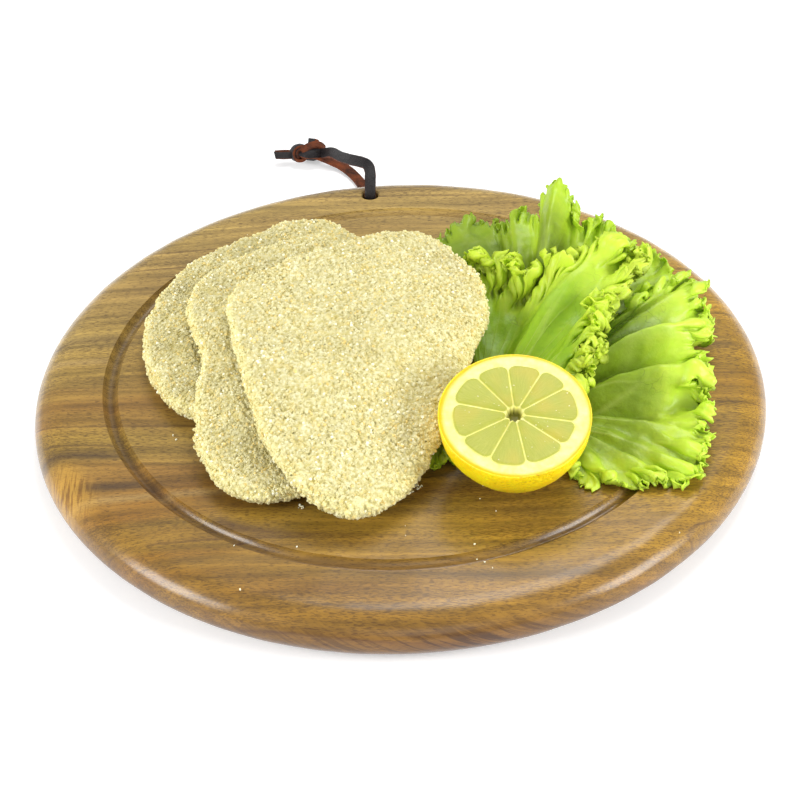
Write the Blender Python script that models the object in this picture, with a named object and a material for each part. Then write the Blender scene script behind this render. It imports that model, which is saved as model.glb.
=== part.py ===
"""Breaded schnitzels with half a lemon and lettuce, served on a round wooden board.

Metres, +Z up. The origin is the centre of the board's underside, +Y points to the
hole with the leather thong, and the board lies flat on z = 0.
"""

from math import cos, pi, radians, sin, sqrt

import bmesh
import bpy
import numpy as np
from mathutils import Matrix, Vector

# Board: a turned disc with a full-round edge, a juice groove and a hole for the thong.
BOARD_RADIUS = 0.150
BOARD_THICKNESS = 0.020
BOARD_EDGE_DEPTH = 0.0133
GROOVE_INNER_RADIUS = 0.1151
GROOVE_WIDTH = 0.0063
GROOVE_DEPTH = 0.0032
HOLE_CENTRE = (-0.0100, 0.1340)
HOLE_RADIUS = 0.0038
RELIEF_WIDTH = 0.0066
RELIEF_DEPTH = 0.0027
BOARD_STEPS = 80

# Food
SCHNITZEL_THICKNESS = 0.0105
SCHNITZEL_RIM = 0.0060
LEAF_THICKNESS = 0.0034
LEAF_RIM = 0.0050
LEMON_RADIUS = 0.0287
LEMON_DEPTH = 0.0300
LEMON_CENTRE = (0.0425, -0.0715)
LEMON_TILT = radians(16)
LEMON_STEPS = 32

# Leather thong: one flat strip, looped through the hole and round the board's edge.
STRIP_WIDTH = 0.0052
STRIP_THICKNESS = 0.0018
KNOT_CENTRE = (-0.0395, 0.1985, 0.0068)
KNOT_RADII = (0.0090, 0.0068, 0.0064)

GAP = 0.0003
PILE_GAP = 0.0007
PILE_STEP = 0.0025


def principled(name, colour, roughness):
    """A plain Principled material."""
    material = bpy.data.materials.new(name)
    material.use_nodes = True
    shader = material.node_tree.nodes["Principled BSDF"]
    shader.inputs["Base Color"].default_value = (*colour, 1.0)
    shader.inputs["Roughness"].default_value = roughness
    shader.inputs["Metallic"].default_value = 0.0
    return material


def new_object(name, mesh, material):
    """Links a mesh to the scene as one named object."""
    mesh.materials.append(material)
    obj = bpy.data.objects.new(name, mesh)
    bpy.context.scene.collection.objects.link(obj)
    return obj


def mesh_from(name, shape):
    """Finishes a bmesh: triangles, outward faces, smooth shading."""
    bmesh.ops.remove_doubles(shape, verts=shape.verts, dist=1e-6)
    bmesh.ops.recalc_face_normals(shape, faces=shape.faces)
    mesh = bpy.data.meshes.new(name)
    shape.to_mesh(mesh)
    shape.free()
    mesh.shade_smooth()
    mesh.set_sharp_from_angle(angle=radians(40))
    return mesh


def smooth_loop(points, count):
    """A closed Catmull-Rom curve through the points, read at equal arc steps."""
    points = np.array(points, float)
    before, after = np.roll(points, 1, 0), np.roll(points, -1, 0)
    beyond = np.roll(points, -2, 0)
    t = np.linspace(0, 1, 24, endpoint=False)[:, None, None]
    curve = 0.5 * (
        2 * points
        + (after - before) * t
        + (2 * before - 5 * points + 4 * after - beyond) * t**2
        + (3 * points - before - 3 * after + beyond) * t**3
    )
    curve = curve.transpose(1, 0, 2).reshape(-1, points.shape[1])
    return equal_steps(np.vstack([curve, curve[:1]]), count + 1)[:-1]


def smooth_path(points, count):
    """An open Catmull-Rom curve through the points, read at equal arc steps."""
    points = np.array(points, float)
    padded = np.vstack([2 * points[0] - points[1], points, 2 * points[-1] - points[-2]])
    curve = []
    for a, b, c, d in zip(padded, padded[1:], padded[2:], padded[3:]):
        bend, twist = 2 * a - 5 * b + 4 * c - d, 3 * b - a - 3 * c + d
        for t in np.linspace(0, 1, 24, endpoint=False):
            curve.append(0.5 * (2 * b + (c - a) * t + bend * t**2 + twist * t**3))
    return equal_steps(np.array([*curve, points[-1]]), count)


def equal_steps(curve, count):
    """The curve's points at equal distances along it."""
    along = np.concatenate([[0], np.cumsum(np.linalg.norm(np.diff(curve, axis=0), axis=1))])
    wanted = np.linspace(0, along[-1], count)
    return np.stack([np.interp(wanted, along, axis) for axis in curve.T], axis=1)


class Pile:
    """The height of what already lies on the board, on a square grid."""

    def __init__(self):
        self.axis = np.arange(-BOARD_RADIUS, BOARD_RADIUS + PILE_STEP, PILE_STEP)
        self.x, self.y = np.meshgrid(self.axis, self.axis, indexing="ij")
        self.top = np.full(self.x.shape, BOARD_THICKNESS)

    def depth_inside(self, outline):
        """Distance in from the outline: positive inside it, negative outside."""
        nearest = np.full(self.x.shape, np.inf)
        crossings = np.zeros(self.x.shape, int)
        for (ax, ay), (bx, by) in zip(outline, np.roll(outline, -1, 0)):
            ux, uy = bx - ax, by - ay
            t = ((self.x - ax) * ux + (self.y - ay) * uy) / (ux * ux + uy * uy)
            t = np.clip(t, 0, 1)
            nearest = np.minimum(nearest, np.hypot(self.x - ax - t * ux, self.y - ay - t * uy))
            spans = (ay > self.y) != (by > self.y)
            level = np.where(spans, (self.y - ay) / (uy if uy else 1), 0)
            crossings += spans & (self.x < ax + level * ux)
        return np.where(crossings % 2 == 1, nearest, -nearest)

    def blurred(self, field, mask, reach):
        """The field averaged over a few grid steps, with only the masked part counted."""
        weights = np.exp(-0.5 * (np.arange(-3, 4) / (reach / PILE_STEP)) ** 2)
        total, share = field * mask, mask.astype(float)
        for axis in (0, 1):
            total = sum(w * np.roll(total, k, axis) for w, k in zip(weights, range(-3, 4)))
            share = sum(w * np.roll(share, k, axis) for w, k in zip(weights, range(-3, 4)))
        return total / np.maximum(share, 1e-9)

    def settle(self, depth, stiffness):
        """How a slab with this outline lies on the pile: it touches its high places and bends between."""
        near = depth > -2 * PILE_STEP
        support = self.top.copy()
        for axis in (0, 1):
            support = np.maximum.reduce([np.roll(support, k, axis) for k in (-1, 0, 1)])
        support = support + PILE_GAP
        base = support.copy()
        for _ in range(stiffness):
            base = np.maximum(support, self.blurred(base, near, 0.004))
        base = self.blurred(base, near, 0.004)
        inside = depth > 0
        return base + max(0, (support - base)[inside].max() - 0.0004)

    def read(self, field, x, y):
        """The field between grid points."""
        u = np.clip((x - self.axis[0]) / PILE_STEP, 0, len(self.axis) - 1.001)
        v = np.clip((y - self.axis[0]) / PILE_STEP, 0, len(self.axis) - 1.001)
        i, j = u.astype(int), v.astype(int)
        u, v = u - i, v - j
        low = field[i, j] * (1 - v) + field[i, j + 1] * v
        high = field[i + 1, j] * (1 - v) + field[i + 1, j + 1] * v
        return low * (1 - u) + high * u

    def lay(self, name, outline, thickness, rim, stiffness, material, steps, rings, lift=None):
        """Lays a slab with a rounded rim on the pile, bent to what lies under it."""
        outline = smooth_loop(outline, steps)
        depth = self.depth_inside(outline)
        base = self.settle(depth, stiffness)
        if lift:
            base = base + lift(self.x, self.y, depth)
        middle = base + thickness / 2
        centre = outline.mean(0)
        spokes = outline - centre
        reach = np.linalg.norm(spokes, axis=1)
        layers = []
        insets = [rim * (1 - cos(k * pi / 4)) for k in range(3)]
        scales = [1 - inset / reach for inset in insets]
        scales += [scales[-1] * (1 - (k + 1) / (rings + 1)) for k in range(rings)]
        halves = [thickness / 2 * sin(k * pi / 4) for k in range(3)] + [thickness / 2] * rings
        for scale, half in zip(scales, halves):
            plan = centre + spokes * scale[:, None]
            layers.append((plan, self.read(middle, plan[:, 0], plan[:, 1]), half))
        shape = bmesh.new()
        rim_loop = [shape.verts.new((*p, z)) for p, z in zip(layers[0][0], layers[0][1])]
        for side in (1, -1):
            outer = rim_loop
            for plan, height, half in layers[1:]:
                inner = [shape.verts.new((*p, z + side * half)) for p, z in zip(plan, height)]
                for k in range(steps):
                    shape.faces.new((outer[k - 1], outer[k], inner[k], inner[k - 1]))
                outer = inner
            height = self.read(middle, centre[0], centre[1]) + side * thickness / 2
            hub = shape.verts.new((*centre, height))
            for k in range(steps):
                shape.faces.new((outer[k - 1], outer[k], hub))
        bmesh.ops.triangulate(shape, faces=shape.faces)
        new_object(name, mesh_from(name, shape), material)
        rounding = np.clip(1 - (1 - np.clip(depth / rim, 0, 1)) ** 2, 0, 1)
        top = middle + thickness / 2 * np.sqrt(rounding)
        self.top = np.where(depth > 0, np.maximum(self.top, top), self.top)


def turned(profile, steps):
    """A profile of radii and heights spun round +Z."""
    shape = bmesh.new()
    verts = [shape.verts.new((radius, 0, z)) for radius, z in profile]
    geom = verts + [shape.edges.new(pair) for pair in zip(verts, verts[1:])]
    centre, axis = (0, 0, 0), (0, 0, 1)
    bmesh.ops.spin(shape, geom=geom, cent=centre, axis=axis, angle=2 * pi, steps=steps, use_merge=True)
    return shape


def bump(x, y, centre, size, height):
    """A smooth hill."""
    return height * np.exp(-((x - centre[0]) ** 2 + (y - centre[1]) ** 2) / (2 * size**2))


def ruffles(x, y, centre, waves, height, depth):
    """Folds that fan out from a leaf's foot and grow towards its edge."""
    angle = np.arctan2(y - centre[1], x - centre[0])
    edge = np.clip(1 - depth / 0.030, 0, 1)
    return height * edge * (0.5 + 0.5 * np.sin(waves * angle))


def build_board(material):
    """The turned disc, with the hole and the thong's relief cut from it."""
    flat = BOARD_RADIUS - BOARD_EDGE_DEPTH
    half = BOARD_THICKNESS / 2
    profile = [(0, 0), (flat * 0.5, 0)]
    for k in range(9):
        angle = -pi / 2 + k * pi / 8
        profile.append((flat + BOARD_EDGE_DEPTH * cos(angle), half + half * sin(angle)))
    for k in range(7):
        angle = k * pi / 6
        radius = GROOVE_INNER_RADIUS + GROOVE_WIDTH * (1 + cos(angle)) / 2
        profile.append((radius, BOARD_THICKNESS - GROOVE_DEPTH * sin(angle)))
    profile += [(flat * 0.5, BOARD_THICKNESS), (0, BOARD_THICKNESS)]
    board = new_object("board", mesh_from("board", turned(profile, BOARD_STEPS)), material)

    shape = bmesh.new()
    size = {"radius1": HOLE_RADIUS, "radius2": HOLE_RADIUS, "depth": 3 * BOARD_THICKNESS}
    bmesh.ops.create_cone(shape, cap_ends=True, segments=20, **size)
    hole = new_object("hole_cutter", mesh_from("hole_cutter", shape), material)
    hole.location = (*HOLE_CENTRE, half)

    shape = bmesh.new()
    bmesh.ops.create_cube(shape, size=1)
    relief_start = HOLE_CENTRE[1] - HOLE_RADIUS
    length = BOARD_RADIUS + 0.005 - relief_start
    bmesh.ops.scale(shape, vec=(RELIEF_WIDTH, length, 2 * RELIEF_DEPTH), verts=shape.verts)
    relief = new_object("relief_cutter", mesh_from("relief_cutter", shape), material)
    relief.location = (HOLE_CENTRE[0], relief_start + length / 2, 0)

    for cutter in (hole, relief):
        cutter.hide_render = True
        cutter.display_type = "WIRE"
        cut = board.modifiers.new(cutter.name, "BOOLEAN")
        cut.operation = "DIFFERENCE"
        cut.object = cutter


def build_food(breading, lettuce):
    """The schnitzels and the leaves, laid one after another."""
    pile = Pile()
    schnitzel = {"thickness": SCHNITZEL_THICKNESS, "rim": SCHNITZEL_RIM, "material": breading}
    schnitzel |= {"steps": 40, "rings": 5}
    leaf = {"thickness": LEAF_THICKNESS, "rim": LEAF_RIM, "material": lettuce, "steps": 40, "rings": 5}

    first = [(-0.106, 0.020), (-0.099, -0.014), (-0.082, -0.036), (-0.044, -0.046), (-0.006, -0.030)]
    first += [(0.012, 0.008), (0.006, 0.052), (-0.013, 0.083), (-0.036, 0.103), (-0.068, 0.086)]
    first += [(-0.094, 0.064)]
    pile.lay("schnitzel_bottom", first, stiffness=1, **schnitzel)

    second = [(-0.087, 0.024), (-0.083, 0.004), (-0.078, -0.016), (-0.080, -0.040), (-0.077, -0.064)]
    second += [(-0.059, -0.087), (-0.030, -0.081), (-0.004, -0.058), (0.016, -0.024), (0.022, 0.014)]
    second += [(0.006, 0.046), (-0.020, 0.066), (-0.042, 0.070), (-0.067, 0.054), (-0.081, 0.043)]
    pile.lay("schnitzel_middle", second, stiffness=14, **schnitzel)

    right = [(0.065, -0.070), (0.082, -0.081), (0.104, -0.086), (0.117, -0.076), (0.124, -0.054)]
    right += [(0.126, -0.026), (0.131, 0.004), (0.132, 0.028), (0.122, 0.042), (0.100, 0.034)]
    right += [(0.074, 0.012), (0.050, -0.012), (0.052, -0.032), (0.064, -0.048)]

    def right_folds(x, y, depth):
        """Low at the foot beside the lemon, rising in folds to the frilled edge."""
        return ruffles(x, y, (0.062, -0.040), 9, 0.007, depth) + bump(x, y, (0.122, 0.010), 0.014, 0.007)

    pile.lay("lettuce_leaf_right", right, stiffness=4, lift=right_folds, **leaf)

    back = [(0.024, 0.040), (0.020, 0.064), (0.026, 0.084), (0.048, 0.088), (0.066, 0.080)]
    back += [(0.084, 0.068), (0.104, 0.056), (0.118, 0.042), (0.112, 0.026), (0.090, 0.020)]
    back += [(0.066, 0.018), (0.040, 0.020)]

    def back_folds(x, y, depth):
        """A flat lobe on the left, then two lobes that stand up."""
        standing = bump(x, y, (0.073, 0.061), 0.0100, 0.036) + bump(x, y, (0.055, 0.064), 0.008, 0.014)
        return 0.004 + ruffles(x, y, (0.050, 0.020), 10, 0.005, depth) + standing

    pile.lay("lettuce_leaf_back", back, stiffness=4, lift=back_folds, **leaf)

    middle = [(0.030, -0.004), (0.030, 0.030), (0.044, 0.040), (0.062, 0.034), (0.080, 0.034)]
    middle += [(0.098, 0.026), (0.100, 0.010), (0.084, -0.006), (0.082, -0.026), (0.078, -0.046)]
    middle += [(0.064, -0.044), (0.046, -0.022)]

    def middle_folds(x, y, depth):
        """High along the frilled right-hand edge."""
        frill = bump(x, y, (0.086, 0.012), 0.014, 0.010) + bump(x, y, (0.070, -0.020), 0.014, 0.004)
        return frill + ruffles(x, y, (0.045, -0.010), 9, 0.003, depth)

    pile.lay("lettuce_leaf_middle", middle, stiffness=4, lift=middle_folds, **leaf)

    tip = [(0.000, -0.060), (0.004, -0.072), (0.016, -0.074), (0.023, -0.066), (0.022, -0.052)]
    tip += [(0.010, -0.046)]
    leaf |= {"thickness": 0.0022, "rim": 0.0020, "steps": 20, "rings": 2}
    pile.lay("lettuce_leaf_tip", tip, stiffness=1, **leaf)

    third = [(-0.067, 0.018), (-0.068, 0.000), (-0.063, -0.027), (-0.057, -0.054), (-0.048, -0.080)]
    third += [(-0.036, -0.094), (-0.020, -0.102), (-0.004, -0.094), (0.010, -0.076), (0.022, -0.045)]
    third += [(0.031, -0.016), (0.038, 0.004), (0.036, 0.020), (0.027, 0.041), (0.015, 0.063)]
    third += [(0.002, 0.058), (-0.020, 0.046), (-0.044, 0.035), (-0.060, 0.025)]
    pile.lay("schnitzel_top", third, stiffness=16, **schnitzel)


def build_lemon(material):
    """Half a lemon on its rounded back, its cut face leaning to the front."""
    profile = [(0, 0)]
    for k in range(9):
        angle = k * pi / 2 / 8
        profile.append((LEMON_RADIUS * cos(angle), -LEMON_DEPTH * sin(angle)))
    lemon = new_object("lemon_half", mesh_from("lemon_half", turned(profile, LEMON_STEPS)), material)
    lowest = sqrt((LEMON_RADIUS * sin(LEMON_TILT)) ** 2 + (LEMON_DEPTH * cos(LEMON_TILT)) ** 2)
    lemon.location = (*LEMON_CENTRE, BOARD_THICKNESS + GAP + lowest)
    lemon.rotation_euler = (LEMON_TILT, 0, 0)


def build_strip(name, points, count, facing, material):
    """A flat strip swept along a smooth path, its broad side turned towards a direction."""
    path = smooth_path(points, count)
    along = np.gradient(path, axis=0)
    shape = bmesh.new()
    loops = []
    for point, direction in zip(path, along):
        direction = Vector(direction).normalized()
        across = Vector(facing).cross(direction).normalized() * STRIP_WIDTH / 2
        out = direction.cross(across).normalized() * STRIP_THICKNESS / 2
        corners = (across + out, across - out, -across - out, -across + out)
        loops.append([shape.verts.new(Vector(point) + corner) for corner in corners])
    for start, end in zip(loops, loops[1:]):
        for k in range(4):
            shape.faces.new((start[k - 1], start[k], end[k], end[k - 1]))
    shape.faces.new(loops[0])
    shape.faces.new(loops[-1])
    bmesh.ops.triangulate(shape, faces=shape.faces)
    new_object(name, mesh_from(name, shape), material)


def build_thong(material):
    """The strip's two strands, its knot and its two tails, resting on the table behind the board."""
    hole_x, hole_y = HOLE_CENTRE
    over = [(hole_x, hole_y, 0.0040), (hole_x, hole_y, 0.0120), (hole_x, hole_y, 0.0200)]
    over += [(-0.0097, 0.1385, 0.0248), (-0.0096, 0.1430, 0.0270), (-0.0108, 0.1478, 0.0278)]
    over += [(-0.0140, 0.1525, 0.0268), (-0.0190, 0.1600, 0.0238), (-0.0240, 0.1715, 0.0188)]
    over += [(-0.0280, 0.1835, 0.0140), (-0.0310, 0.1915, 0.0103)]
    build_strip("thong_strand_over", over, 30, (0, -0.78, 0.62), material)

    low = STRIP_THICKNESS / 2 + GAP
    under = [(hole_x, hole_y - 0.0025, low), (hole_x, 0.1400, low), (hole_x, 0.1500, low)]
    under += [(-0.0115, 0.1620, low), (-0.0145, 0.1735, low + 0.0003), (-0.0195, 0.1835, 0.0022)]
    under += [(-0.0265, 0.1925, 0.0038)]
    build_strip("thong_strand_under", under, 20, (0, 0, 1), material)

    shape = bmesh.new()
    bmesh.ops.create_icosphere(shape, subdivisions=3, radius=1)
    bmesh.ops.scale(shape, vec=KNOT_RADII, verts=shape.verts)
    bmesh.ops.transform(shape, matrix=Matrix.Translation(KNOT_CENTRE), verts=shape.verts)
    new_object("thong_knot", mesh_from("thong_knot", shape), material)

    for side, height in (("upper", 0.0072), ("lower", 0.0045)):
        start = (KNOT_CENTRE[0] - KNOT_RADII[0] - 0.0005, KNOT_CENTRE[1] + 0.001, height)
        end = (start[0] - 0.0075, start[1] + 0.002, height - 0.0008)
        middle = [(a + b) / 2 for a, b in zip(start, end)]
        build_strip(f"thong_tail_{side}", [start, middle, end], 4, (0, 0, 1), material)


def main():
    for obj in list(bpy.data.objects):
        bpy.data.objects.remove(obj)
    build_board(principled("wood", (0.30, 0.155, 0.060), 0.42))
    breading = principled("breading", (0.72, 0.62, 0.38), 0.85)
    lettuce = principled("lettuce", (0.30, 0.52, 0.05), 0.45)
    build_food(breading, lettuce)
    build_lemon(principled("lemon", (0.90, 0.68, 0.04), 0.35))
    build_thong(principled("leather", (0.045, 0.030, 0.026), 0.55))


main()
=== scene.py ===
"""Raw breaded schnitzels with half a lemon and lettuce on a round acacia serving board.

Metres, +Z up. The board lies flat on z = 0, centred on the origin, and its hanging hole is at +Y.
"""

from functools import partial
from math import cos, pi, radians, sin, sqrt

import bmesh
import bpy
import numpy as np
from mathutils import Matrix, Vector, noise
from mathutils.bvhtree import BVHTree


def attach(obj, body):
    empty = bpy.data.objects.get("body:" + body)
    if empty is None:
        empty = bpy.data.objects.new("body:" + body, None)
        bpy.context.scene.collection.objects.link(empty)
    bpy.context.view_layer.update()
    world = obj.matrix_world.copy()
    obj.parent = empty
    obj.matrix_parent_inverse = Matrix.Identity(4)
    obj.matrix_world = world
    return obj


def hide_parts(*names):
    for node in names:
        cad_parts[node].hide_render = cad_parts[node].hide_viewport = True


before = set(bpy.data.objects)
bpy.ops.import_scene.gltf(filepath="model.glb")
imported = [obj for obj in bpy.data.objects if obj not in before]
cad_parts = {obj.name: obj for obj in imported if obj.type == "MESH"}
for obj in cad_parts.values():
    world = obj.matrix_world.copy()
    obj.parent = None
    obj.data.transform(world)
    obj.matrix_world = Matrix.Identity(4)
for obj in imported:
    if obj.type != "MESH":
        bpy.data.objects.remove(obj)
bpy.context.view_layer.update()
scene = bpy.context.scene

# ------------------------------------------------------------
# Camera: a long lens that looks down on the front of the platter, as a menu shows a plate.
CAMERA_ELEVATION = radians(38.278)
CAMERA_ROLL = radians(-2.317)
CAMERA_DISTANCE = 0.78662
CAMERA_AIM = Vector((0.00007, 0.00348, 0.0))


def put(name, data):
    """Adds an object to the scene."""
    obj = bpy.data.objects.new(name, data)
    scene.collection.objects.link(obj)
    return obj


lens = bpy.data.cameras.new("camera")
lens.sensor_width = 36.0
lens.lens = 84.34
lens.clip_start = 0.01
camera = put("camera", lens)
tilt = Matrix.Rotation(pi / 2 - CAMERA_ELEVATION, 4, "X") @ Matrix.Rotation(CAMERA_ROLL, 4, "Z")
backwards = Vector((0.0, -cos(CAMERA_ELEVATION), sin(CAMERA_ELEVATION)))
camera.matrix_world = Matrix.Translation(CAMERA_AIM + backwards * CAMERA_DISTANCE) @ tilt
scene.camera = camera
scene.view_settings.view_transform = "Standard"

# ------------------------------------------------------------
# Leather thong: one strip cut from dyed hide, black on the grain side and raw brown on the
# flesh side and the cut edges. Both strands leave the board's hole and meet in a knot.
STRIP_WIDTH = 0.0052
STRIP_THICKNESS = 0.0018
STRIP_ROUNDING = 0.0005
HOLE_X, HOLE_Y = -0.01, 0.134
KNOT_CENTRE = Vector((-0.0395, 0.1985, 0.0068))
KNOT_LEAN = radians(38)


def srgb(red, green, blue):
    """A colour named as it looks on a screen, from 0 to 255, in the shaders' linear values."""
    return tuple(((c / 255 + 0.055) / 1.055) ** 2.4 for c in (red, green, blue)) + (1.0,)


def add_node(tree, kind, inputs, **settings):
    """Adds a node to a tree; an input takes a number, a colour or another node's output."""
    node = tree.nodes.new(kind)
    for name, value in settings.items():
        setattr(node, name, value)
    for name, value in inputs.items():
        if isinstance(value, bpy.types.NodeSocket):
            tree.links.new(value, node.inputs[name])
        else:
            node.inputs[name].default_value = value
    return node


class Finish:
    """A material made node by node. Patterns lie in the piece's own metres."""

    def __init__(self, name, **sockets):
        self.material = bpy.data.materials.new(name)
        self.material.use_nodes = True
        self.tree = self.material.node_tree
        self.shader = self.tree.nodes["Principled BSDF"]
        for socket, value in sockets.items():
            self.shader.inputs[socket.replace("_", " ")].default_value = value
        self.place = self.tree.nodes.new("ShaderNodeTexCoord").outputs["Object"]

    def add(self, kind, inputs, **settings):
        return add_node(self.tree, "ShaderNode" + kind, inputs, **settings)

    def mark(self, name):
        """A value that the piece's points carry."""
        return self.add("Attribute", {}, attribute_name=name).outputs["Fac"]

    def away(self, *centre):
        """The distance from a place."""
        inputs = {0: self.place, 1: centre}
        return self.add("VectorMath", inputs, operation="DISTANCE").outputs["Value"]

    def stretch(self, x, y, z, turn=0.0, place=None):
        """Pattern coordinates, in cycles per metre along each axis."""
        inputs = {"Vector": place or self.place, "Scale": (x, y, z), "Rotation": (0, 0, turn)}
        return self.add("Mapping", inputs).outputs["Vector"]

    def noise(self, where, detail=3.0, rough=0.55, warp=0.0):
        """Cloudy values, in pattern coordinates or at so many cycles per metre all ways."""
        if isinstance(where, int):
            where = self.stretch(where, where, where)
        inputs = {"Vector": where, "Scale": 1.0, "Detail": detail, "Roughness": rough}
        return self.add("TexNoise", {**inputs, "Distortion": warp}).outputs["Fac"]

    def cells(self, where, feature="F1", random=1.0):
        """Distances in a pattern of cells, from their middles or from the lines between."""
        if isinstance(where, int):
            where = self.stretch(where, where, where)
        inputs = {"Vector": where, "Scale": 1.0, "Randomness": random}
        return self.add("TexVoronoi", inputs, feature=feature).outputs["Distance"]

    def ramp(self, factor, *stops):
        """Each stop is a position and a grey value or a colour."""
        node = self.add("ValToRGB", {"Fac": factor})
        elements = node.color_ramp.elements
        while len(elements) < len(stops):
            elements.new(0.5)
        for element, (position, value) in zip(elements, stops):
            element.position = position
            element.color = value if isinstance(value, tuple) else (value, value, value, 1.0)
        return node.outputs["Color"]

    def blend(self, factor, a, b, mode="MIX"):
        """One colour laid over another."""
        inputs = {0: factor, 6: a, 7: b}
        return self.add("Mix", inputs, data_type="RGBA", blend_type=mode).outputs[2]

    def math(self, operation, a, b=0.0, c=0.0):
        return self.add("Math", {0: a, 1: b, 2: c}, operation=operation).outputs[0]

    def times(self, a, b, plus=0.0):
        return self.math("MULTIPLY_ADD", a, b, plus)

    def wire(self, **sockets):
        for socket, value in sockets.items():
            self.tree.links.new(value, self.shader.inputs[socket.replace("_", " ")])

    def bump(self, *layers):
        """Each layer is a height and its depth in metres."""
        normal = None
        for height, depth in layers:
            inputs = {"Height": height, "Distance": depth, "Strength": 1.0}
            if normal:
                inputs["Normal"] = normal
            normal = self.add("Bump", inputs).outputs["Normal"]
        self.wire(Normal=normal)


def through(points, count):
    """A smooth curve through the points, or through rows of points, read at even steps."""
    points = np.asarray(points, float)
    padded = np.concatenate([2 * points[:1] - points[1:2], points, 2 * points[-1:] - points[-2:-1]])
    step = np.linspace(0, len(points) - 1 - 1e-9, count)
    first = step.astype(int)
    t = (step - first).reshape(-1, *[1] * (points.ndim - 1))
    a, b, c, d = (padded[first + k] for k in range(4))
    bend, twist = 2 * a - 5 * b + 4 * c - d, 3 * b - a - 3 * c + d
    return 0.5 * (2 * b + (c - a) * t + bend * t**2 + twist * t**3)


def piece(name, shape, materials, node=None):
    """Makes a bmesh a smooth piece that rides on the platter and may stand for a node."""
    mesh = bpy.data.meshes.new(name)
    shape.to_mesh(mesh)
    shape.free()
    obj = put(name, mesh)
    for material in materials:
        mesh.materials.append(material)
    mesh.shade_smooth()
    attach(obj, "root")
    if node:
        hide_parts(node)
    return obj


def sweep_strip(shape, path, facing=None, edge=None, grain_out=True, width=STRIP_WIDTH):
    """Sweeps the strip along a path. Its broad side faces one way, or its edge does."""
    half, thick = width / 2, STRIP_THICKNESS / 2
    section = []
    for quarter, (a, b) in enumerate(((1, 1), (-1, 1), (-1, -1), (1, -1))):
        for k in range(3):
            angle = (quarter + k / 2) * pi / 2
            side = a * (half - STRIP_ROUNDING) + STRIP_ROUNDING * cos(angle)
            section.append((side, b * (thick - STRIP_ROUNDING) + STRIP_ROUNDING * sin(angle)))
    path = [Vector(point) for point in path]
    loops = []
    for k, point in enumerate(path):
        direction = (path[min(k + 1, len(path) - 1)] - path[max(k - 1, 0)]).normalized()
        if edge:
            across = (Vector(edge) - Vector(edge).dot(direction) * direction).normalized()
        else:
            across = Vector(facing).cross(direction).normalized()
        out = direction.cross(across).normalized()
        wobble = 1 + 0.04 * noise.noise(point * 350)
        loops.append([shape.verts.new(point + across * a * wobble + out * b) for a, b in section])
    for start, end in zip(loops, loops[1:]):
        for k in range(12):
            face = shape.faces.new((start[k - 1], start[k], end[k], end[k - 1]))
            on_grain = k in (2, 3, 4) if grain_out else k in (8, 9, 10)
            face.material_index = 0 if on_grain else 1
    for cap in (shape.faces.new(loops[0][::-1]), shape.faces.new(loops[-1])):
        cap.material_index = 1


def leather(name, dark, light, roughness, fibre):
    """Dyed leather with its pores and creases, or the raw fibres of its flesh side."""
    look = Finish(name, Roughness=roughness, Specular_IOR_Level=0.35)
    broad = look.noise(260, detail=4)
    fine = look.noise(fibre, detail=3, rough=0.7)
    mixed = look.times(broad, 0.6, look.times(fine, 0.4))
    look.wire(Base_Color=look.ramp(mixed, (0.38, dark), (0.62, light)))
    creases = look.cells(900, feature="DISTANCE_TO_EDGE")
    look.bump((look.ramp(creases, (0, 0), (0.25, 1)), 0.00008), (fine, 0.0001))
    return look.material


hide = [leather("leather_grain", srgb(15, 11, 12), srgb(36, 30, 31), 0.5, 2600)]
hide.append(leather("leather_flesh", srgb(46, 20, 8), srgb(116, 56, 22), 0.85, 3400))


def in_knot(right, up, out):
    """A place in the knot, in millimetres from its middle, as seen from the front."""
    rise = Vector((0, sin(KNOT_LEAN), cos(KNOT_LEAN)))
    towards = Vector((0, -cos(KNOT_LEAN), sin(KNOT_LEAN)))
    return KNOT_CENTRE + (Vector((right, 0, 0)) + rise * up + towards * out) / 1000


over = [(HOLE_X, HOLE_Y, 0.004), (HOLE_X, HOLE_Y, 0.012), (HOLE_X, HOLE_Y, 0.02)]
over += [(-0.0097, 0.1385, 0.0248), (-0.0096, 0.143, 0.027), (-0.0108, 0.1478, 0.0278)]
over += [(-0.014, 0.1525, 0.0268), (-0.019, 0.16, 0.0238), (-0.024, 0.1715, 0.0188)]
over += [(-0.028, 0.1835, 0.014), (-0.0308, 0.1905, 0.01)]
over += [in_knot(5.2, -1.9, 1.2), in_knot(2.6, -1.7, 0.4)]
low = STRIP_THICKNESS / 2 + 0.0003
under = [(HOLE_X, HOLE_Y - 0.0025, low), (HOLE_X, 0.14, low), (HOLE_X, 0.15, low)]
under += [(-0.0115, 0.162, low), (-0.0145, 0.1735, low + 0.0003), (-0.019, 0.1835, 0.0016)]
under += [(-0.024, 0.19, 0.0022), (-0.0287, 0.193, 0.0032)]
under += [(-0.0331, 0.1948, 0.0044), (-0.0363, 0.1958, 0.0054)]

strand_paths = {"thong_strand_over": over, "thong_strand_under": under}
strands = {}
for name, route in strand_paths.items():
    strand_paths[name] = [tuple(point) for point in through(route, 72)]
    strand = bmesh.new()
    rising = name == "thong_strand_over"
    sweep_strip(strand, strand_paths[name], (0, -0.78, 0.62) if rising else (0, 0, 1), grain_out=rising)
    strands[name] = piece(name.replace("thong", "leather"), strand, hide, name)

knot = bmesh.new()
roll = []
for k in range(60):
    turn, radius = radians(20 + 600 * k / 59), 4.4 - 3.1 * k / 59
    roll.append(in_knot(-5.4 + radius * cos(turn), -1.5 + radius * sin(turn), 0.3 + 0.8 * k / 59))
sweep_strip(knot, roll, edge=in_knot(0.46, -0.3, 1) - KNOT_CENTRE, width=0.0048)


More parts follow.
